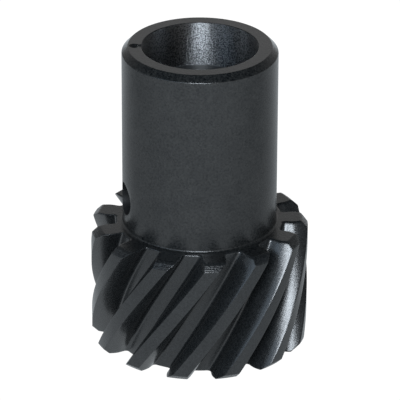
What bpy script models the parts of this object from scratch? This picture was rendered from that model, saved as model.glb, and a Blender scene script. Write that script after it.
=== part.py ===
"""A helical drive gear with a plain hub, and the slotted spring pin that locks it to its shaft.

The gear is one piece of steel, turned and hobbed from a bar: a short toothed section with right-hand
helical teeth at the bottom, and a narrower round hub above it. A stepped bore runs through both. The spring
pin sits across the hub, in a hole drilled along X.

Units are metres. +Z runs up the axis from the toothed end to the hub end, and the origin is the centre of
the toothed end's flat face.
"""

import math

import bmesh
import bpy

MM = 0.001

# The toothed section.
TEETH = 13
FACE_WIDTH = 18.65 * MM
OUTER_RADIUS = 15.7 * MM
PITCH_RADIUS = 14.0 * MM
ROOT_RADIUS = 12.05 * MM
LEAD = 135.6 * MM  # how far a tooth climbs in one whole turn round the axis
TIP_LAND = 2.2 * MM  # width of a tooth's flat top, measured round the outside
NORMAL_PRESSURE_ANGLE = math.radians(14.5)
ROOT_FILLET = 0.45 * MM
TOP_TIP_CHAMFER = 0.95 * MM  # at the hub's side of the teeth
BOTTOM_TIP_CHAMFER = 1.0 * MM
FIRST_TOOTH = math.radians(-6.9)  # where a tooth's middle meets the toothed end's face, from +X

# The hub and the stepped bore.
TOTAL_HEIGHT = 45.8 * MM
HUB_RADIUS = 11.13 * MM
HUB_CHAMFER = 0.9 * MM
BORE_RADIUS = 6.25 * MM
BORE_CHAMFER = 0.6 * MM
COUNTERBORE_RADIUS = 8.3 * MM
COUNTERBORE_DEPTH = 6.55 * MM

# The timing mark on the hub's end face, in line with the rotor when the gear is fitted: a drill-point dimple, and a
# shallow notch from it to the counterbore's edge.
DIMPLE_RADIUS = 0.75 * MM
DIMPLE_DEPTH = 0.5 * MM
DIMPLE_REACH = 9.3 * MM  # from the axis
DIMPLE_BEARING = math.radians(165.5)
NOTCH_WIDTH = 1.1 * MM
NOTCH_DEPTH = 0.2 * MM

# The cross hole, along X, and the spring pin in it.
PIN_HEIGHT = 23.15 * MM
PIN_HOLE_RADIUS = 2.41 * MM
PIN_RADIUS = 2.37 * MM
PIN_WALL = 0.95 * MM
PIN_LENGTH = 19.05 * MM
PIN_SLOT = 0.9 * MM
PIN_END_CHAMFER = 0.5 * MM

# How finely the curved faces are cut into flat ones.
HELIX_STEPS = 11
FLANK_STEPS = 4
FILLET_STEPS = 3
TURNED_STEPS = 72
CHAMFER_STEPS = 104
PIN_STEPS = 32
CUTTER_MARGIN = 1.0 * MM  # how far a cutter stands out past the face it cuts
CREASE = math.radians(28)  # faces that meet at a sharper angle than this keep a crisp edge


def clear_scene():
    for obj in list(bpy.data.objects):
        bpy.data.objects.remove(obj, do_unlink=True)


def new_collection(name):
    collection = bpy.data.collections.new(name)
    bpy.context.scene.collection.children.link(collection)
    return collection


def new_object(name, mesh, collection):
    obj = bpy.data.objects.new(name, mesh)
    collection.objects.link(obj)
    return obj


def steel(name, colour, roughness):
    material = bpy.data.materials.new(name)
    material.use_nodes = True
    shader = material.node_tree.nodes["Principled BSDF"]
    shader.inputs["Base Color"].default_value = (*colour, 1.0)
    shader.inputs["Roughness"].default_value = roughness
    shader.inputs["Metallic"].default_value = 0.9
    return material


def turned(name, profile, steps, collection):
    """A solid of revolution about Z. The profile runs from the axis at the top, down the outside, to the axis."""
    mesh = bpy.data.meshes.new(name)
    mesh.from_pydata([(r, 0.0, z) for r, z in profile], [(i, i + 1) for i in range(len(profile) - 1)], [])
    obj = new_object(name, mesh, collection)
    screw = obj.modifiers.new("turn", "SCREW")
    screw.axis = "Z"
    screw.angle = math.tau
    screw.steps = steps
    screw.render_steps = steps
    screw.use_merge_vertices = True
    screw.merge_threshold = 0.00001
    return obj


def cut(obj, operation, other):
    boolean = obj.modifiers.new(other.name, "BOOLEAN")
    boolean.operation = operation
    boolean.object = other
    boolean.solver = "EXACT"


def make_cutter(obj):
    obj.hide_render = True
    obj.display_type = "WIRE"


def settle(obj):
    """Applies the modifiers, and shades the round faces smooth with crisp edges between them."""
    graph = bpy.context.evaluated_depsgraph_get()
    mesh = bpy.data.meshes.new_from_object(obj.evaluated_get(graph))
    obj.modifiers.clear()
    obj.data = mesh
    mesh.name = obj.name
    mesh.shade_smooth()
    mesh.set_sharp_from_angle(angle=CREASE)


def involute(angle):
    return math.tan(angle) - angle


def tooth_half_angle(radius, base_radius):
    """Half of the angle that a tooth takes up at this radius. Below the base circle its flanks are radial."""
    at_tip = TIP_LAND / (2 * OUTER_RADIUS)
    tip_roll = involute(math.acos(base_radius / OUTER_RADIUS))
    roll = involute(math.acos(min(1.0, base_radius / radius)))
    return at_tip + tip_roll - roll


def half_tooth_outline():
    """(radius, angle from the tooth's middle) along one half of a tooth, from its tip to the gap's middle."""
    helix_angle = math.atan(math.tau * PITCH_RADIUS / LEAD)
    pressure_angle = math.atan(math.tan(NORMAL_PRESSURE_ANGLE) / math.cos(helix_angle))
    base_radius = PITCH_RADIUS * math.cos(pressure_angle)
    flank_foot = ROOT_RADIUS + ROOT_FILLET
    points = [(OUTER_RADIUS, 0.0)]
    for step in range(FLANK_STEPS + 1):
        radius = OUTER_RADIUS + (flank_foot - OUTER_RADIUS) * step / FLANK_STEPS
        points.append((radius, tooth_half_angle(radius, base_radius)))
    foot_angle = points[-1][1]
    for step in range(1, FILLET_STEPS + 1):
        turn = math.pi / 2 * step / FILLET_STEPS
        radius = flank_foot - ROOT_FILLET * math.sin(turn)
        points.append((radius, foot_angle + ROOT_FILLET * (1 - math.cos(turn)) / ROOT_RADIUS))
    return points


def gear_outline(start_angle):
    """The gear's cross-section, as (x, y) points in order round the axis."""
    pitch_angle = math.tau / TEETH
    half = half_tooth_outline()
    gap_middle = (ROOT_RADIUS, pitch_angle / 2)
    tooth = [(radius, -angle) for radius, angle in reversed(half[1:])] + half + [gap_middle]
    points = []
    for number in range(TEETH):
        middle = start_angle + number * pitch_angle
        for radius, angle in tooth:
            points.append((radius * math.cos(middle + angle), radius * math.sin(middle + angle)))
    return points


def helical_teeth(name, collection):
    """The cross-section swept up a right-hand helix, a little longer than the toothed section at both ends."""
    length = FACE_WIDTH + 2 * CUTTER_MARGIN
    turn = math.tau * length / LEAD
    start_angle = FIRST_TOOTH - math.tau * CUTTER_MARGIN / LEAD
    bm = bmesh.new()
    corners = [bm.verts.new((x, y, -CUTTER_MARGIN)) for x, y in gear_outline(start_angle)]
    end = bm.faces.new(corners)
    bmesh.ops.spin(
        bm,
        geom=[end] + end.edges[:] + end.verts[:],
        axis=(0, 0, 1),
        angle=turn,
        dvec=(0, 0, length / HELIX_STEPS),
        steps=HELIX_STEPS,
    )
    bmesh.ops.recalc_face_normals(bm, faces=bm.faces)
    mesh = bpy.data.meshes.new(name)
    bm.to_mesh(mesh)
    bm.free()
    return new_object(name, mesh, collection)


def chamfered_ends(collection):
    """What the teeth are trimmed to: flat end faces, with a cone that takes the corner off every tooth."""
    wide = OUTER_RADIUS + CUTTER_MARGIN
    profile = [
        (0.0, FACE_WIDTH),
        (OUTER_RADIUS - TOP_TIP_CHAMFER, FACE_WIDTH),
        (wide, FACE_WIDTH - TOP_TIP_CHAMFER - CUTTER_MARGIN),
        (wide, BOTTOM_TIP_CHAMFER + CUTTER_MARGIN),
        (OUTER_RADIUS - BOTTOM_TIP_CHAMFER, 0.0),
        (0.0, 0.0),
    ]
    return turned("end_trim", profile, CHAMFER_STEPS, collection)


def hub(collection):
    """The hub, rooted inside the toothed section so that the two join as one solid."""
    profile = [
        (0.0, TOTAL_HEIGHT),
        (HUB_RADIUS - HUB_CHAMFER, TOTAL_HEIGHT),
        (HUB_RADIUS, TOTAL_HEIGHT - HUB_CHAMFER),
        (HUB_RADIUS, FACE_WIDTH / 2),
        (0.0, FACE_WIDTH / 2),
    ]
    return turned("hub_blank", profile, TURNED_STEPS, collection)


def stepped_bore(collection):
    """The shaft bore, chamfered at the toothed end, and the wider counterbore at the hub's end."""
    above = TOTAL_HEIGHT + CUTTER_MARGIN
    ledge = TOTAL_HEIGHT - COUNTERBORE_DEPTH
    profile = [
        (0.0, above),
        (COUNTERBORE_RADIUS, above),
        (COUNTERBORE_RADIUS, ledge),
        (BORE_RADIUS, ledge),
        (BORE_RADIUS, BORE_CHAMFER),
        (BORE_RADIUS + BORE_CHAMFER + CUTTER_MARGIN, -CUTTER_MARGIN),
        (0.0, -CUTTER_MARGIN),
    ]
    return turned("bore_cutter", profile, TURNED_STEPS, collection)


def cross_hole(collection):
    reach = HUB_RADIUS + CUTTER_MARGIN
    profile = [(0.0, reach), (PIN_HOLE_RADIUS, reach), (PIN_HOLE_RADIUS, -reach), (0.0, -reach)]
    obj = turned("cross_hole_cutter", profile, PIN_STEPS, collection)
    obj.rotation_euler = (0.0, math.pi / 2, 0.0)
    obj.location = (0.0, 0.0, PIN_HEIGHT)
    return obj


def timing_dimple(collection):
    """A drill-point dimple: a cone whose point is at its bottom."""
    slope = DIMPLE_RADIUS / DIMPLE_DEPTH
    profile = [
        (0.0, CUTTER_MARGIN),
        (DIMPLE_RADIUS + slope * CUTTER_MARGIN, CUTTER_MARGIN),
        (0.0, -DIMPLE_DEPTH),
    ]
    obj = turned("dimple_cutter", profile, 16, collection)
    obj.location = (
        DIMPLE_REACH * math.cos(DIMPLE_BEARING),
        DIMPLE_REACH * math.sin(DIMPLE_BEARING),
        TOTAL_HEIGHT,
    )
    return obj


def box_cutter(name, size, collection):
    bpy.ops.mesh.primitive_cube_add(size=1.0)
    obj = bpy.context.object
    obj.name = name
    obj.scale = size
    bpy.context.collection.objects.unlink(obj)
    collection.objects.link(obj)
    return obj


def timing_notch(collection):
    """A shallow radial notch that joins the dimple to the counterbore's edge."""
    inner = COUNTERBORE_RADIUS - CUTTER_MARGIN
    size = (DIMPLE_REACH - inner, NOTCH_WIDTH, NOTCH_DEPTH + CUTTER_MARGIN)
    obj = box_cutter("notch_cutter", size, collection)
    middle = (DIMPLE_REACH + inner) / 2
    obj.rotation_euler = (0.0, 0.0, DIMPLE_BEARING)
    obj.location = (
        middle * math.cos(DIMPLE_BEARING),
        middle * math.sin(DIMPLE_BEARING),
        TOTAL_HEIGHT + (CUTTER_MARGIN - NOTCH_DEPTH) / 2,
    )
    return obj


def make_gear(parts, cutters):
    gear = helical_teeth("helical_gear", parts)
    steps = [
        ("INTERSECT", chamfered_ends(cutters)),
        ("UNION", hub(cutters)),
        ("DIFFERENCE", stepped_bore(cutters)),
        ("DIFFERENCE", cross_hole(cutters)),
        ("DIFFERENCE", timing_dimple(cutters)),
        ("DIFFERENCE", timing_notch(cutters)),
    ]
    for operation, other in steps:
        make_cutter(other)
        cut(gear, operation, other)
    gear.data.materials.append(steel("black_oxide_steel", (0.035, 0.037, 0.038), 0.4))
    return gear


def make_roll_pin(parts, cutters):
    """A tube slit along its whole length, so that it can spring tight in the hole, with bevelled ends."""
    half = PIN_LENGTH / 2
    inside = PIN_RADIUS - PIN_WALL
    profile = [
        (inside, half),
        (PIN_RADIUS - PIN_END_CHAMFER, half),
        (PIN_RADIUS, half - PIN_END_CHAMFER),
        (PIN_RADIUS, PIN_END_CHAMFER - half),
        (PIN_RADIUS - PIN_END_CHAMFER, -half),
        (inside, -half),
        (inside, half),
    ]
    pin = turned("roll_pin", profile, PIN_STEPS, parts)

    size = (2 * PIN_RADIUS, PIN_SLOT, PIN_LENGTH + 2 * CUTTER_MARGIN)
    slot = box_cutter("pin_slot_cutter", size, cutters)
    slot.location = (-PIN_RADIUS, 0.0, 0.0)
    slot.parent = pin
    make_cutter(slot)
    cut(pin, "DIFFERENCE", slot)

    pin.rotation_euler = (0.0, math.pi / 2, 0.0)
    pin.location = (0.0, 0.0, PIN_HEIGHT)
    pin.data.materials.append(steel("spring_steel", (0.12, 0.12, 0.12), 0.35))
    return pin


def main():
    clear_scene()
    parts = new_collection("helical_drive_gear")
    cutters = new_collection("cutters")
    settle(make_gear(parts, cutters))
    settle(make_roll_pin(parts, cutters))


main()
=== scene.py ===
"""Looks of the helical drive gear: a fine mesh of the gear and its spring pin, and black-oxide steel.

The gear is one turned and hobbed piece with its axis on +Z and its toothed end on the floor. Its mesh is
laid out in rings: the teeth are sections of the gear swept up a right-hand helix, and the hub and the bore
are turned profiles. Sizes that the parts in model.glb hold come from the parts' boxes. Lengths are in
metres, except in the materials, which work in millimetres. The floor is white paper under soft light.
"""

import math

import bmesh
import bpy
from mathutils import Matrix, Vector


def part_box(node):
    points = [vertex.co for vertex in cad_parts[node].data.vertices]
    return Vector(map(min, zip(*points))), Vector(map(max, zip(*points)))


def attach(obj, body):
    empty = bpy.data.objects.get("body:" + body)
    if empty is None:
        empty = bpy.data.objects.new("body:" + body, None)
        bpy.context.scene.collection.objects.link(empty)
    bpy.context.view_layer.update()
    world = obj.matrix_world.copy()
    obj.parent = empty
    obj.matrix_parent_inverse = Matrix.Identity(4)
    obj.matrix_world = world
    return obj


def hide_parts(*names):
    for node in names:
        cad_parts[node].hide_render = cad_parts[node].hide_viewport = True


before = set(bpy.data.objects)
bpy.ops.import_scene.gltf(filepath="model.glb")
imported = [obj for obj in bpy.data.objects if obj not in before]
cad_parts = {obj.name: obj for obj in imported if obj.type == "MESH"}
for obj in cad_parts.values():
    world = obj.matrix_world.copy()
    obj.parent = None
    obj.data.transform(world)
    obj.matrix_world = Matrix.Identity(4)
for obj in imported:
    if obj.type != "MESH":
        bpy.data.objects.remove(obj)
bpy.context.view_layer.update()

MM = 0.001
GEAR_LOW, GEAR_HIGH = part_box("helical_gear")
PIN_LOW, PIN_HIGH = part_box("roll_pin")

# The toothed section.
TEETH = 13
FACE_WIDTH = 18.65 * MM
OUTER_RADIUS = (GEAR_HIGH.y - GEAR_LOW.y) / 2
PITCH_RADIUS = 14.0 * MM
ROOT_RADIUS = 12.05 * MM
LEAD = 135.6 * MM  # how far a tooth climbs in one whole turn round the axis
TIP_LAND = 2.2 * MM  # width of a tooth's flat top
NORMAL_PRESSURE_ANGLE = math.radians(14.5)
ROOT_FILLET = 0.45 * MM
TOP_TIP_CHAMFER = 0.95 * MM
BOTTOM_TIP_CHAMFER = 1.0 * MM
FIRST_TOOTH = math.radians(-6.9)

# The hub and the stepped bore.
TOTAL_HEIGHT = GEAR_HIGH.z
HUB_RADIUS = 11.13 * MM
HUB_CHAMFER = 0.9 * MM
HUB_FOOT_RADIUS = 0.3 * MM
BORE_RADIUS = 6.25 * MM
BORE_CHAMFER = 0.6 * MM
COUNTERBORE_RADIUS = 8.3 * MM
COUNTERBORE_DEPTH = 6.55 * MM

# The timing mark on the hub's end face: a dimple, and a shallow notch from it to the counterbore's edge.
DIMPLE_RADIUS = 0.75 * MM
DIMPLE_DEPTH = 0.5 * MM
DIMPLE_REACH = 9.3 * MM
DIMPLE_BEARING = math.radians(165.5)
NOTCH_WIDTH = 1.1 * MM
NOTCH_DEPTH = 0.2 * MM

# The spring pin and its hole, along X.
PIN_RADIUS = (PIN_HIGH.y - PIN_LOW.y) / 2
PIN_LENGTH = PIN_HIGH.x - PIN_LOW.x
PIN_HEIGHT = (PIN_HIGH.z + PIN_LOW.z) / 2
PIN_HOLE_RADIUS = 2.41 * MM
PIN_WALL = 0.95 * MM
PIN_SLOT = 0.9 * MM
PIN_END_CHAMFER = 0.5 * MM

# Broken edges, as a deburring wheel or a tool's nose leaves them.
EDGE = 0.09 * MM
RIM_EDGE = 0.12 * MM
SHOULDER_EDGE = 0.28 * MM
TOP_FACE_EDGE = 0.24 * MM
BOTTOM_FACE_EDGE = 0.15 * MM

CUTTER_MARGIN = 0.3 * MM  # how far the timing mark's cutters stand out of the gear


# ---------------------------------------------------------------- mesh helpers


def arc(centre, radius, start, end, steps):
    """Points of an arc in the (radius, height) plane, with angles in degrees from the outward direction."""
    points = []
    for step in range(steps + 1):
        angle = math.radians(start + (end - start) * step / steps)
        points.append((centre[0] + radius * math.cos(angle), centre[1] + radius * math.sin(angle)))
    return points


def revolved_rings(bm, profile, segments):
    """One ring of vertices round Z for each point of the profile."""
    rings = []
    for radius, height in profile:
        ring = []
        for index in range(segments):
            angle = math.tau * index / segments
            ring.append(bm.verts.new((radius * math.cos(angle), radius * math.sin(angle), height)))
        rings.append(ring)
    return rings


def skin(bm, rings, material=0):
    """Quads between each closed ring and the next."""
    made = []
    for lower, upper in zip(rings, rings[1:]):
        for index in range(len(lower)):
            after = (index + 1) % len(lower)
            face = bm.faces.new((lower[index], lower[after], upper[after], upper[index]))
            face.material_index = material
            made.append(face)
    return made


def ring_edges(ring):
    """The edges between each vertex of a closed ring and the next."""
    found = []
    for index, vert in enumerate(ring):
        after = ring[(index + 1) % len(ring)]
        found.append(next(edge for edge in vert.link_edges if edge.other_vert(vert) is after))
    return found


def fill_between(bm, outer, inner, normal, material):
    """A flat face between two loops, one inside the other."""
    made = bmesh.ops.triangle_fill(
        bm,
        use_beauty=True,
        edges=ring_edges(outer) + ring_edges(inner),
        normal=normal,
    )
    for item in made["geom"]:
        if isinstance(item, bmesh.types.BMFace):
            item.material_index = material


def object_from(bm, name, materials):
    """Turns a bmesh into an object in the scene, with its faces' normals pointing out."""
    bmesh.ops.recalc_face_normals(bm, faces=bm.faces)
    mesh = bpy.data.meshes.new(name)
    bm.to_mesh(mesh)
    bm.free()
    for material in materials:
        mesh.materials.append(material)
    obj = bpy.data.objects.new(name, mesh)
    bpy.context.scene.collection.objects.link(obj)
    return obj


def apply_modifiers(obj):
    """Makes what the object's modifiers give its own mesh."""
    graph = bpy.context.evaluated_depsgraph_get()
    mesh = bpy.data.meshes.new_from_object(obj.evaluated_get(graph))
    obj.modifiers.clear()
    old = obj.data
    obj.data = mesh
    bpy.data.meshes.remove(old)


def cut(obj, cutters):
    """Takes the cutters' shapes out of obj, then removes them."""
    for cutter in cutters:
        boolean = obj.modifiers.new(cutter.name, "BOOLEAN")
        boolean.operation = "DIFFERENCE"
        boolean.object = cutter
        boolean.solver = "EXACT"
        apply_modifiers(obj)
        bpy.data.objects.remove(cutter, do_unlink=True)


def shade(obj, crease_degrees):
    """Smooth shading that keeps creases, and keeps level faces flat right up to their rounded edges."""
    mesh = obj.data
    mesh.shade_smooth()
    mesh.set_sharp_from_angle(angle=math.radians(crease_degrees))
    nearly_level = 0.99999
    bm = bmesh.new()
    bm.from_mesh(mesh)
    for edge in bm.edges:
        level = [abs(face.normal.z) > nearly_level for face in edge.link_faces]
        if any(level) and not all(level):
            edge.smooth = False
    bm.to_mesh(mesh)
    bm.free()


# ---------------------------------------------------------------- the gear

# The gear's material slots.
OXIDE, TEETH_OXIDE, BORE_STEEL, DRILLED, TIP_OXIDE = range(5)


def involute(angle):
    """The angle between an involute's start and its point at this pressure angle."""
    return math.tan(angle) - angle


def tooth_half_angle(radius, base_radius):
    """Half of the angle that a tooth takes up at this radius. Below the base circle it stays the same."""
    at_tip = TIP_LAND / (2 * OUTER_RADIUS)
    tip_roll = involute(math.acos(base_radius / OUTER_RADIUS))
    roll = involute(math.acos(min(1.0, base_radius / radius)))
    return at_tip + tip_roll - roll


def half_tooth(tip_radius):
    """(radius, angle off the tooth's middle) from the middle of the tooth's top to that of the gap."""
    land_steps, flank_steps, fillet_steps, floor_steps = 4, 12, 6, 4
    helix_angle = math.atan(math.tau * PITCH_RADIUS / LEAD)
    pressure_angle = math.atan(math.tan(NORMAL_PRESSURE_ANGLE) / math.cos(helix_angle))
    base_radius = PITCH_RADIUS * math.cos(pressure_angle)
    tip_angle = tooth_half_angle(tip_radius, base_radius)
    points = [(tip_radius, tip_angle * step / land_steps) for step in range(land_steps)]
    flank_foot = ROOT_RADIUS + ROOT_FILLET
    for step in range(flank_steps + 1):
        radius = tip_radius + (flank_foot - tip_radius) * step / flank_steps
        points.append((radius, tooth_half_angle(radius, base_radius)))
    foot_angle = points[-1][1]
    for step in range(1, fillet_steps + 1):
        turn = math.pi / 2 * step / fillet_steps
        radius = flank_foot - ROOT_FILLET * math.sin(turn)
        points.append((radius, foot_angle + ROOT_FILLET * (1 - math.cos(turn)) / ROOT_RADIUS))
    floor_start = points[-1][1]
    for step in range(1, floor_steps + 1):
        angle = floor_start + (math.pi / TEETH - floor_start) * step / floor_steps
        points.append((ROOT_RADIUS, angle))
    return points


def inset(points, distance):
    """Moves a closed outline, given in order round the axis, into the material by this distance."""
    least_cosine = 0.5  # keeps a sharp corner from moving more than twice the distance
    moved = []
    for index, here in enumerate(points):
        before, after = points[index - 1], points[(index + 1) % len(points)]
        into = Vector((before[1] - here[1], here[0] - before[0])).normalized()
        out_of = Vector((here[1] - after[1], after[0] - here[0])).normalized()
        middle = (into + out_of).normalized()
        reach = distance / max(least_cosine, middle.dot(into))
        moved.append((here[0] + middle.x * reach, here[1] + middle.y * reach))
    return moved


def section(height):
    """The toothed cross-section at this height, in order round the axis.

    Near both ends the chamfer cuts the tips, and the rounded edges of the end faces draw the outline in.
    """
    from_bottom = OUTER_RADIUS - BOTTOM_TIP_CHAMFER + height
    from_top = OUTER_RADIUS - TOP_TIP_CHAMFER + FACE_WIDTH - height
    half = half_tooth(min(OUTER_RADIUS, from_bottom, from_top))
    tooth = [(radius, -angle) for radius, angle in reversed(half[1:-1])] + half
    start = FIRST_TOOTH + math.tau * height / LEAD
    points = []
    for number in range(TEETH):
        middle = start + number * math.tau / TEETH
        for radius, angle in tooth:
            points.append((radius * math.cos(middle + angle), radius * math.sin(middle + angle)))
    below = max(0.0, BOTTOM_FACE_EDGE - height) / BOTTOM_FACE_EDGE
    above = max(0.0, height - FACE_WIDTH + TOP_FACE_EDGE) / TOP_FACE_EDGE
    rounding = BOTTOM_FACE_EDGE * (1 - math.sqrt(1 - below**2))
    rounding += TOP_FACE_EDGE * (1 - math.sqrt(1 - above**2))
    return [(x, y, height) for x, y in inset(points, rounding)]


def section_heights():
    """Heights of the sections: close together in the rounded edges and chamfers at both ends."""
    round_steps, chamfer_steps, body_steps = 4, 3, 40
    turns = [math.pi / 2 * step / round_steps for step in range(round_steps)]
    heights = [BOTTOM_FACE_EDGE * (1 - math.cos(turn)) for turn in turns]
    for start, end, steps in (
        (BOTTOM_FACE_EDGE, BOTTOM_TIP_CHAMFER, chamfer_steps),
        (BOTTOM_TIP_CHAMFER, FACE_WIDTH - TOP_TIP_CHAMFER, body_steps),
        (FACE_WIDTH - TOP_TIP_CHAMFER, FACE_WIDTH - TOP_FACE_EDGE, chamfer_steps),
    ):
        heights += [start + (end - start) * step / steps for step in range(steps)]
    for turn in reversed(turns + [math.pi / 2]):
        heights.append(FACE_WIDTH - TOP_FACE_EDGE * (1 - math.cos(turn)))
    return heights


def supported(arcs):
    """Joins arcs into one profile, with a point just off each arc's end to keep the flats between flat."""
    margin = 0.12 * MM
    points = list(arcs[0])
    for following in arcs[1:]:
        start, end = Vector(points[-1]), Vector(following[0])
        step = (end - start).normalized() * margin
        points += [tuple(start + step), tuple(end - step)]
        points += following
    return points


def hub_profile():
    """From the gear's top face up the hub, over its rim, and down into the counterbore's mouth."""
    foot = HUB_FOOT_RADIUS
    foot_arc = arc((HUB_RADIUS + foot, FACE_WIDTH + foot), foot, 264, 180, 7)
    # The arc stops 6 degrees short of level, and its first point is put on the gear's top face.
    foot_arc[0] = (foot_arc[0][0], FACE_WIDTH)
    flat = HUB_RADIUS - HUB_CHAMFER
    tangent_length = math.tan(math.radians(45 / 2))
    shoulder = TOTAL_HEIGHT - HUB_CHAMFER - SHOULDER_EDGE * tangent_length
    # Rings close above and below the cross hole keep the shading that it disturbs near it.
    beside_hole = PIN_HOLE_RADIUS + 0.2 * MM
    return supported([
        foot_arc,
        [(HUB_RADIUS, PIN_HEIGHT - beside_hole), (HUB_RADIUS, PIN_HEIGHT + beside_hole)],
        arc((HUB_RADIUS - SHOULDER_EDGE, shoulder), SHOULDER_EDGE, 0, 45, 6),
        arc((flat - RIM_EDGE * tangent_length, TOTAL_HEIGHT - RIM_EDGE), RIM_EDGE, 45, 90, 4),
        arc((COUNTERBORE_RADIUS + EDGE, TOTAL_HEIGHT - EDGE), EDGE, 90, 180, 4),
    ])


def counterbore_profile():
    """From the counterbore's mouth down its wall to the outer edge of its ledge."""
    ledge = TOTAL_HEIGHT - COUNTERBORE_DEPTH
    points = [(COUNTERBORE_RADIUS, TOTAL_HEIGHT - 2 * EDGE), (COUNTERBORE_RADIUS, ledge + 2 * EDGE)]
    return points + arc((COUNTERBORE_RADIUS - EDGE, ledge + EDGE), EDGE, 0, -90, 3)


def bore_profile():
    """From the inner edge of the counterbore's ledge down through the bore to the gear's bottom face."""
    ledge = TOTAL_HEIGHT - COUNTERBORE_DEPTH
    points = arc((BORE_RADIUS + EDGE, ledge - EDGE), EDGE, 90, 180, 4)
    points += [(BORE_RADIUS, PIN_HEIGHT), (BORE_RADIUS, BORE_CHAMFER), (BORE_RADIUS + BORE_CHAMFER, 0.0)]
    return points


def cone_cutter(name, low_radius, high_radius, length, place, steps, materials):
    """A drill's shape. The surface that it leaves is matt."""
    bm = bmesh.new()
    bmesh.ops.create_cone(
        bm,
        cap_ends=True,
        segments=steps,
        radius1=low_radius,
        radius2=high_radius,
        depth=length,
        matrix=place,
    )
    for face in bm.faces:
        face.material_index = DRILLED
    return object_from(bm, name, materials)


def at_timing_mark(reach, height):
    """The place this far from the axis on the timing mark's bearing."""
    turned = Matrix.Rotation(DIMPLE_BEARING, 4, "Z")
    return turned @ Matrix.Translation((reach, 0.0, height))


def dimple_cutter(materials):
    """The drill's point: a cone with its tip down, standing out above the hub's end face."""
    blunt_tip = 0.02 * MM
    mouth = DIMPLE_RADIUS * (1 + CUTTER_MARGIN / DIMPLE_DEPTH)
    length = DIMPLE_DEPTH + CUTTER_MARGIN
    place = at_timing_mark(DIMPLE_REACH, TOTAL_HEIGHT + (CUTTER_MARGIN - DIMPLE_DEPTH) / 2)
    return cone_cutter("dimple_cutter", blunt_tip, mouth, length, place, 40, materials)


def notch_cutter(materials):
    """A block from the dimple's middle to inside the counterbore's mouth."""
    inner = COUNTERBORE_RADIUS - CUTTER_MARGIN
    place = at_timing_mark((DIMPLE_REACH + inner) / 2, TOTAL_HEIGHT + (CUTTER_MARGIN - NOTCH_DEPTH) / 2)
    size = Matrix.Diagonal((DIMPLE_REACH - inner, NOTCH_WIDTH, NOTCH_DEPTH + CUTTER_MARGIN, 1.0))
    bm = bmesh.new()
    bmesh.ops.create_cube(bm, size=1.0, matrix=place @ size)
    for face in bm.faces:
        face.material_index = OXIDE
    return object_from(bm, "notch_cutter", materials)


def on_tip_chamfer(face):
    """True for a face of the cones that the teeth's tips are turned to at both ends."""
    cone_slope = math.sin(math.radians(45))
    slope_margin = 0.08
    least_outward = 0.65
    face.normal_update()
    middle = face.calc_center_median()
    outward = Vector((middle.x, middle.y, 0.0)).normalized()
    sloped = abs(abs(face.normal.z) - cone_slope) < slope_margin
    return sloped and face.normal.dot(outward) > least_outward


def break_edges(obj, width, least_degrees):
    """Rounds every edge that turns by more than this angle."""
    bevel = obj.modifiers.new("broken edges", "BEVEL")
    bevel.width = width
    bevel.segments = 2
    bevel.limit_method = "ANGLE"
    bevel.angle_limit = math.radians(least_degrees)
    apply_modifiers(obj)


def gear_mesh():
    """The gear before it is drilled: the toothed section, the hub and the bore, closed by its end faces."""
    turned_segments = 208
    bm = bmesh.new()
    sections = [[bm.verts.new(point) for point in section(height)] for height in section_heights()]
    for face in skin(bm, sections, TEETH_OXIDE):
        if on_tip_chamfer(face):
            face.material_index = TIP_OXIDE
    hub = revolved_rings(bm, hub_profile(), turned_segments)
    counterbore = revolved_rings(bm, counterbore_profile(), turned_segments)
    bore = revolved_rings(bm, bore_profile(), turned_segments)
    skin(bm, hub, OXIDE)
    skin(bm, [hub[-1]] + counterbore + [bore[0]], BORE_STEEL)
    skin(bm, bore, OXIDE)
    fill_between(bm, sections[-1], hub[0], (0, 0, 1), OXIDE)
    fill_between(bm, sections[0], bore[-1], (0, 0, -1), OXIDE)
    return bm


def cross_hole_cutter(materials):
    across = Matrix.Translation((0.0, 0.0, PIN_HEIGHT)) @ Matrix.Rotation(math.pi / 2, 4, "Y")
    length = 3 * HUB_RADIUS
    return cone_cutter("cross_hole", PIN_HOLE_RADIUS, PIN_HOLE_RADIUS, length, across, 96, materials)


def make_gear(materials):
    gear = object_from(gear_mesh(), "gear_body", materials)
    cut(gear, [cross_hole_cutter(materials), dimple_cutter(materials), notch_cutter(materials)])
    break_edges(gear, EDGE, 34)
    shade(gear, 40)
    return gear


# ---------------------------------------------------------------- the spring pin


def pin_wall_profile():
    """(radius, distance along the pin) round the section of its wall. Both ends curve in."""
    outer, inner, half = PIN_RADIUS, PIN_RADIUS - PIN_WALL, PIN_LENGTH / 2
    edge = 0.06 * MM
    end = [
        (inner + edge, half),
        (outer - PIN_END_CHAMFER * 0.55, half),
        (outer - PIN_END_CHAMFER * 0.25, half - PIN_END_CHAMFER * 0.35),
        (outer - PIN_END_CHAMFER * 0.06, half - PIN_END_CHAMFER * 0.8),
        (outer, half - PIN_END_CHAMFER * 1.3),
    ]
    other_end = [(radius, -along) for radius, along in reversed(end)]
    return end + other_end + [(inner, -half + edge), (inner, half - edge)]


def make_pin(material):
    """A tube rolled from strip: its section is a C, and the slot runs its whole length."""
    around_steps = 72
    profile = pin_wall_profile()
    half_slot = math.asin(PIN_SLOT / 2 / PIN_RADIUS)
    bm = bmesh.new()
    rings = []
    for step in range(around_steps + 1):
        # The slot faces up: angle 0 is +Z, and the pin's length lies along X.
        angle = half_slot + (math.tau - 2 * half_slot) * step / around_steps
        ring = []
        for radius, along in profile:
            y, z = radius * math.sin(angle), PIN_HEIGHT + radius * math.cos(angle)
            ring.append(bm.verts.new((along, y, z)))
        rings.append(ring)
    skin(bm, rings)
    bm.faces.new(rings[0])
    bm.faces.new(list(reversed(rings[-1])))
    pin = object_from(bm, "spring_pin", [material])
    break_edges(pin, 0.04 * MM, 50)
    shade(pin, 40)
    return pin


# ---------------------------------------------------------------- materials


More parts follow.
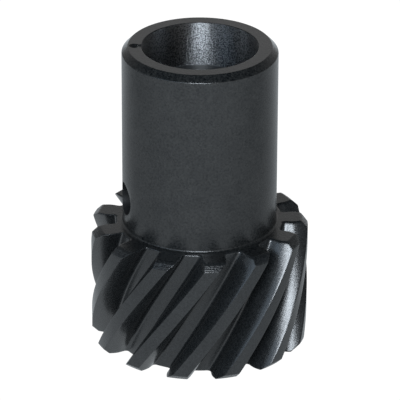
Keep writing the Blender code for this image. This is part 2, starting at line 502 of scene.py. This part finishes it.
class Nodes:
    """A short way to write a material's node tree. Methods take values or sockets, and return a socket."""

    def __init__(self, material):
        material.use_nodes = True
        self.tree = material.node_tree
        self.shader = self.tree.nodes["Principled BSDF"]

    def put(self, socket, value):
        if isinstance(value, bpy.types.NodeSocket):
            self.tree.links.new(value, socket)
        else:
            socket.default_value = value

    def math(self, operation, first, second=0.0):
        node = self.tree.nodes.new("ShaderNodeMath")
        node.operation = operation
        self.put(node.inputs[0], first)
        self.put(node.inputs[1], second)
        return node.outputs[0]

    def ramp(self, value, low, high, out_low=0.0, out_high=1.0):
        node = self.tree.nodes.new("ShaderNodeMapRange")
        for socket, given in zip(node.inputs, (value, low, high, out_low, out_high)):
            self.put(socket, given)
        return node.outputs[0]

    def combine(self, x, y, z):
        node = self.tree.nodes.new("ShaderNodeCombineXYZ")
        for socket, value in zip(node.inputs, (x, y, z)):
            self.put(socket, value)
        return node.outputs[0]

    def noise(self, vector, scale, detail, roughness):
        node = self.tree.nodes.new("ShaderNodeTexNoise")
        self.put(node.inputs["Vector"], vector)
        node.inputs["Scale"].default_value = scale
        node.inputs["Detail"].default_value = detail
        node.inputs["Roughness"].default_value = roughness
        return node.outputs["Fac"]

    def mix(self, factor, first, second):
        node = self.tree.nodes.new("ShaderNodeMix")
        node.data_type = "RGBA"
        self.put(node.inputs[0], factor)
        self.put(node.inputs[6], (*first, 1.0) if isinstance(first, tuple) else first)
        self.put(node.inputs[7], (*second, 1.0) if isinstance(second, tuple) else second)
        return node.outputs[2]

    def place(self):
        """The point in the gear's frame: (x, y, z, distance from the axis, angle round it), in mm."""
        coordinates = self.tree.nodes.new("ShaderNodeTexCoord")
        apart = self.tree.nodes.new("ShaderNodeSeparateXYZ")
        self.tree.links.new(coordinates.outputs["Object"], apart.inputs[0])
        x, y, z = (self.math("MULTIPLY", out, 1000.0) for out in apart.outputs)
        squares = self.math("ADD", self.math("MULTIPLY", x, x), self.math("MULTIPLY", y, y))
        return x, y, z, self.math("SQRT", squares), self.math("ARCTAN2", y, x)

    def bump(self, height, depth_mm, normal=None):
        node = self.tree.nodes.new("ShaderNodeBump")
        node.inputs["Strength"].default_value = 1.0
        node.inputs["Distance"].default_value = depth_mm * MM
        self.put(node.inputs["Height"], height)
        if normal is not None:
            self.put(node.inputs["Normal"], normal)
        return node.outputs[0]

    def blend(self, first, second, share):
        """A mean of two values, where the first has this share of the weight."""
        first, second = self.math("MULTIPLY", first, share), self.math("MULTIPLY", second, 1 - share)
        return self.math("ADD", first, second)

    def brushed_round_axis(self, strength):
        """Stretches highlights across marks that run round the Z axis."""
        self.shader.inputs["Anisotropic"].default_value = strength
        self.shader.inputs["Anisotropic Rotation"].default_value = 0.25
        tangent = self.tree.nodes.new("ShaderNodeTangent")
        tangent.direction_type = "RADIAL"
        tangent.axis = "Z"
        self.put(self.shader.inputs["Tangent"], tangent.outputs[0])


def tool_marks(nodes, pitch, along_helix):
    """The height of marks this many millimetres apart, which run round the axis or along the teeth."""
    _, _, z, radius, angle = nodes.place()
    if along_helix:
        # Turning the angle back by the helix makes it the same all the way along a tooth.
        turn_back = math.tau * MM / LEAD
        from_tooth = nodes.math("SUBTRACT", angle, nodes.math("MULTIPLY", z, turn_back))
        across = nodes.math("MULTIPLY", from_tooth, PITCH_RADIUS / MM)
        lines = nodes.combine(radius, across, nodes.math("MULTIPLY", z, 0.08))
    else:
        lines = nodes.combine(radius, z, nodes.math("MULTIPLY", angle, 0.35))
    return nodes.noise(lines, 1.0 / pitch, 3.0, 0.65)


def oxide_steel(name, tones, roughness, groove_depth, groove_pitch, grain_depth, along_helix=False):
    """Machined steel under a thin black-oxide coat.

    tones are its darkest and lightest colour, roughness its lowest and highest. Depths and pitch are in mm.
    """
    material = bpy.data.materials.new(name)
    nodes = Nodes(material)
    x, y, z, _, _ = nodes.place()
    flat = nodes.combine(x, y, z)
    grooves = tool_marks(nodes, groove_pitch, along_helix)
    blotches = nodes.noise(flat, 0.35, 4.0, 0.6)
    grain = nodes.noise(flat, 3.5, 2.0, 0.6)
    tone = nodes.ramp(nodes.blend(blotches, grain, 0.3), 0.36, 0.64)
    nodes.put(nodes.shader.inputs["Base Color"], nodes.mix(tone, *tones))
    # The faced and chamfered end of the hub is cut finer than the rest.
    top = TOTAL_HEIGHT / MM
    finer = nodes.ramp(z, top - 1.0, top - 0.8, 1.0, 0.75)
    uneven = nodes.ramp(nodes.blend(grain, grooves, 0.5), 0.3, 0.7, *roughness)
    nodes.put(nodes.shader.inputs["Roughness"], nodes.math("MULTIPLY", uneven, finer))
    fine = nodes.bump(grain, grain_depth)
    nodes.put(nodes.shader.inputs["Normal"], nodes.bump(grooves, groove_depth, fine))
    nodes.shader.inputs["Metallic"].default_value = 0.0
    nodes.shader.inputs["IOR"].default_value = 1.5
    nodes.brushed_round_axis(0.3)
    return material


def shader_input(material, name):
    return material.node_tree.nodes["Principled BSDF"].inputs[name]


def turned_oxide():
    return oxide_steel(
        "black_oxide_turned",
        tones=((0.001, 0.002, 0.003), (0.018, 0.019, 0.019)),
        roughness=(0.24, 0.34),
        groove_depth=0.006,
        groove_pitch=0.11,
        grain_depth=0.02,
    )


def hobbed_oxide():
    return oxide_steel(
        "black_oxide_hobbed",
        tones=((0.005, 0.006, 0.007), (0.016, 0.0175, 0.0185)),
        roughness=(0.23, 0.31),
        groove_depth=0.01,
        groove_pitch=0.16,
        grain_depth=0.004,
        along_helix=True,
    )


def tip_oxide():
    """The cones that the teeth's ends are turned to, with coarse marks."""
    return oxide_steel(
        "black_oxide_tips",
        tones=((0.003, 0.004, 0.005), (0.021, 0.0225, 0.0235)),
        roughness=(0.24, 0.34),
        groove_depth=0.15,
        groove_pitch=0.45,
        grain_depth=0.05,
    )


def drilled_oxide():
    """Inside drilled holes the coat is matt and reflects little."""
    material = oxide_steel(
        "black_oxide_drilled",
        tones=((0.008, 0.0085, 0.009), (0.012, 0.0125, 0.013)),
        roughness=(0.5, 0.6),
        groove_depth=0.01,
        groove_pitch=0.15,
        grain_depth=0.01,
    )
    shader_input(material, "IOR").default_value = 1.25
    return material


def pin_steel():
    """Rolled spring steel under thin oil."""
    material = oxide_steel(
        "spring_steel",
        tones=((0.07, 0.07, 0.072), (0.13, 0.125, 0.12)),
        roughness=(0.25, 0.4),
        groove_depth=0.004,
        groove_pitch=0.5,
        grain_depth=0.006,
    )
    shader_input(material, "Metallic").default_value = 0.6
    return material


def bore_steel():
    """The counterbore: coarsely reamed steel, brighter than the rest because little oxide took on it."""
    material = bpy.data.materials.new("reamed_bore")
    nodes = Nodes(material)
    _, _, z, radius, angle = nodes.place()
    pit, crest, ledge_coat = (0.085, 0.088, 0.092), (0.37, 0.38, 0.39), (0.022, 0.024, 0.026)
    wall = COUNTERBORE_RADIUS / MM
    top = TOTAL_HEIGHT / MM
    ledge = top - COUNTERBORE_DEPTH / MM
    around = nodes.math("MULTIPLY", angle, wall)
    # Scales torn by the reamer: bare metal on their crests, oxide in the pits between them.
    scales = nodes.noise(nodes.combine(around, radius, z), 4.8, 1.2, 0.55)
    barer_at_mouth = nodes.math("ADD", scales, nodes.ramp(z, top - 3.0, top, 0.0, 0.05))
    bare = nodes.mix(nodes.ramp(barer_at_mouth, 0.38, 0.64), pit, crest)
    # The ledge keeps its coat. The wall turns darker towards its foot, in the 4 mm above the ledge.
    on_wall = nodes.ramp(radius, wall - 0.3, wall - 0.1)
    wall_colour_share = nodes.math("MULTIPLY", on_wall, nodes.ramp(z, ledge, ledge + 4.0, 0.7, 1.0))
    nodes.put(nodes.shader.inputs["Base Color"], nodes.mix(wall_colour_share, ledge_coat, bare))
    depth = nodes.ramp(z, ledge, top, 0.06, 0.025)
    nodes.put(nodes.shader.inputs["Normal"], nodes.bump(nodes.math("MULTIPLY", scales, depth), 1.0))
    nodes.put(nodes.shader.inputs["Roughness"], nodes.ramp(z, ledge, top, 0.56, 0.35))
    nodes.put(nodes.shader.inputs["Metallic"], on_wall)
    nodes.brushed_round_axis(1.0)
    return material


# ---------------------------------------------------------------- floor, light and camera

# The azimuth of the camera. The lamps and the pale end of the paper are on this side.
FRONT = -15.1


def direction(azimuth, elevation):
    """Unit vector from the gear. Azimuth 0 is -Y, turning towards +X; both angles are in degrees."""
    a, e = math.radians(azimuth), math.radians(elevation)
    return Vector((math.sin(a) * math.cos(e), -math.cos(a) * math.cos(e), math.sin(e)))


def towards_front(tree, vector_socket):
    """How far a point or a direction lies towards the pale end of the paper."""
    node = tree.nodes.new("ShaderNodeVectorMath")
    node.operation = "DOT_PRODUCT"
    node.inputs[1].default_value = direction(FRONT - 4, 0)
    tree.links.new(vector_socket, node.inputs[0])
    return node.outputs["Value"]


def level_ramp(tree, value, low, high, stops):
    """A smooth curve guided by (value, level) stops. The levels stay between 0 and 1."""
    scaled = tree.nodes.new("ShaderNodeMapRange")
    scaled.inputs["From Min"].default_value = low
    scaled.inputs["From Max"].default_value = high
    tree.links.new(value, scaled.inputs["Value"])
    ramp = tree.nodes.new("ShaderNodeValToRGB")
    ramp.color_ramp.interpolation = "B_SPLINE"
    elements = ramp.color_ramp.elements
    while len(elements) < len(stops):
        elements.new(0.5)
    for element, (where, level) in zip(elements, stops):
        element.position = (where - low) / (high - low)
        element.color = (level, level, level, 1.0)
    tree.links.new(scaled.outputs["Result"], ramp.inputs["Fac"])
    return ramp.outputs["Color"]


def combined(tree, blend_type, first, second):
    """Two colour sockets multiplied or added."""
    node = tree.nodes.new("ShaderNodeMix")
    node.data_type = "RGBA"
    node.blend_type = blend_type
    node.inputs[0].default_value = 1.0
    tree.links.new(first, node.inputs[6])
    tree.links.new(second, node.inputs[7])
    return node.outputs[2]


def paper_light(tree):
    """The colour that the gear sees in the paper: palest in front, far behind, and close round the gear."""
    coordinates = tree.nodes.new("ShaderNodeTexCoord")
    place = coordinates.outputs["Object"]
    from_axis = tree.nodes.new("ShaderNodeVectorMath")
    from_axis.operation = "LENGTH"
    tree.links.new(place, from_axis.inputs[0])
    back = [(-0.15, 0.95), (-0.08, 0.57), (-0.03, 0.42)]
    front = [(0.0, 0.46), (0.037, 0.63), (0.065, 0.86), (0.09, 0.92)]
    sweep = level_ramp(tree, towards_front(tree, place), -0.15, 0.15, back + front)
    near = [(0.0, 1.0), (0.02, 1.0), (0.035, 0.85), (0.055, 0.65), (0.1, 0.65)]
    nearness = level_ramp(tree, from_axis.outputs["Value"], 0.0, 0.1, near)
    tint = tree.nodes.new("ShaderNodeRGB")
    tint.outputs[0].default_value = (0.93, 1.0, 1.05, 1.0)
    level = combined(tree, "MULTIPLY", sweep, nearness)
    return combined(tree, "MULTIPLY", level, tint.outputs[0])


def paper_material():
    """White paper lit from the front, and burnt out to plain white where the camera sees it."""
    material = bpy.data.materials.new("white_paper")
    material.use_nodes = True
    tree = material.node_tree
    tree.nodes.clear()
    lit = tree.nodes.new("ShaderNodeEmission")
    lit.inputs["Strength"].default_value = 1.54
    tree.links.new(paper_light(tree), lit.inputs["Color"])
    burnt_out = tree.nodes.new("ShaderNodeEmission")
    burnt_out.inputs["Strength"].default_value = 1.05
    choice = tree.nodes.new("ShaderNodeMixShader")
    path = tree.nodes.new("ShaderNodeLightPath")
    tree.links.new(path.outputs["Is Camera Ray"], choice.inputs[0])
    tree.links.new(lit.outputs[0], choice.inputs[1])
    tree.links.new(burnt_out.outputs[0], choice.inputs[2])
    output = tree.nodes.new("ShaderNodeOutputMaterial")
    tree.links.new(choice.outputs[0], output.inputs["Surface"])
    return material


def make_floor():
    paper_radius = 2.0
    bm = bmesh.new()
    bmesh.ops.create_circle(bm, cap_ends=True, segments=128, radius=paper_radius)
    floor = object_from(bm, "white_paper", [paper_material()])
    floor.location.z = -0.05 * MM


def make_world():
    """A dim room with two pale sides, low in front of the gear and behind it, and dark overhead."""
    world = bpy.data.worlds.new("studio")
    bpy.context.scene.world = world
    world.use_nodes = True
    tree = world.node_tree
    coordinates = tree.nodes.new("ShaderNodeTexCoord")
    apart = tree.nodes.new("ShaderNodeSeparateXYZ")
    tree.links.new(coordinates.outputs["Generated"], apart.inputs[0])
    front = towards_front(tree, coordinates.outputs["Generated"])
    up = apart.outputs["Z"]
    before_round = [(0.1, 0.1), (0.5, 0.25), (0.75, 0.7), (1.0, 0.75)]
    before_up = [(0.0, 1.0), (0.42, 0.95), (0.56, 0.2), (0.7, 0.06), (1.0, 0.04)]
    behind_round = [(-1.0, 0.65), (-0.9, 0.45), (-0.75, 0.22), (-0.4, 0.1), (0.0, 0.0)]
    behind_up = [(0.0, 0.5), (0.3, 1.0), (0.7, 0.9), (0.85, 0.1), (1.0, 0.0)]
    sides = []
    for around, upward in ((before_round, before_up), (behind_round, behind_up)):
        levels = level_ramp(tree, front, -1.0, 1.0, around), level_ramp(tree, up, 0.0, 1.0, upward)
        sides.append(combined(tree, "MULTIPLY", *levels))
    tree.links.new(combined(tree, "ADD", *sides), tree.nodes["Background"].inputs["Color"])


def make_softbox(name, azimuth, elevation, distance, width, height, power, colour):
    """A rectangular light that points at the middle of the gear."""
    light = bpy.data.lights.new(name, "AREA")
    light.shape = "RECTANGLE"
    light.size, light.size_y = width, height
    light.energy = power
    light.color = colour
    obj = bpy.data.objects.new(name, light)
    bpy.context.scene.collection.objects.link(obj)
    centre = Vector((0.0, 0.0, TOTAL_HEIGHT / 2))
    out = direction(azimuth, elevation)
    obj.location = centre + out * distance
    obj.rotation_euler = out.to_track_quat("Z", "Y").to_euler()


def make_lights():
    """A lamp over the camera, a wide cool window to its left, and a dim one square to its left."""
    make_softbox("lamp", FRONT - 2.0, 33.0, 0.5, 0.2, 0.12, 2.35, (0.84, 0.92, 1.0))
    make_softbox("window", FRONT - 45, 30.0, 0.7, 0.55, 0.2, 0.8, (0.62, 0.8, 1.0))
    make_softbox("side", FRONT - 92, 25.0, 0.7, 0.35, 0.25, 0.12, (0.75, 0.88, 1.0))


CAMERA_ELEVATION = 26.03
CAMERA_DISTANCE = 0.5035
CAMERA_ROLL = 0.19
AIM_HEIGHT = 22.0 * MM


def make_camera():
    """A long lens that looks down at the gear."""
    camera = bpy.data.cameras.new("camera")
    obj = bpy.data.objects.new("camera", camera)
    bpy.context.scene.collection.objects.link(obj)
    out = direction(FRONT, CAMERA_ELEVATION)
    place = Matrix.Translation(Vector((0.0, 0.0, AIM_HEIGHT)) + out * CAMERA_DISTANCE)
    turn = out.to_track_quat("Z", "Y").to_matrix().to_4x4()
    roll = Matrix.Rotation(math.radians(CAMERA_ROLL), 4, "Z")
    obj.matrix_world = place @ turn @ roll
    camera.sensor_width = 36.0
    camera.lens = 314.0
    camera.shift_x = 0.0011
    camera.shift_y = -0.0075
    camera.clip_start = 0.01
    camera.clip_end = 10.0
    bpy.context.scene.camera = obj


def set_view():
    scene = bpy.context.scene
    scene.view_settings.view_transform = "Standard"
    scene.view_settings.look = "None"


# ---------------------------------------------------------------- put together

# The materials are in the order of the gear's slots.
gear = make_gear([turned_oxide(), hobbed_oxide(), bore_steel(), drilled_oxide(), tip_oxide()])
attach(gear, "gear")
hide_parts("helical_gear")

pin = make_pin(pin_steel())
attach(pin, "pin")
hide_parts("roll_pin")

make_floor()
make_world()
make_lights()
make_camera()
set_view()
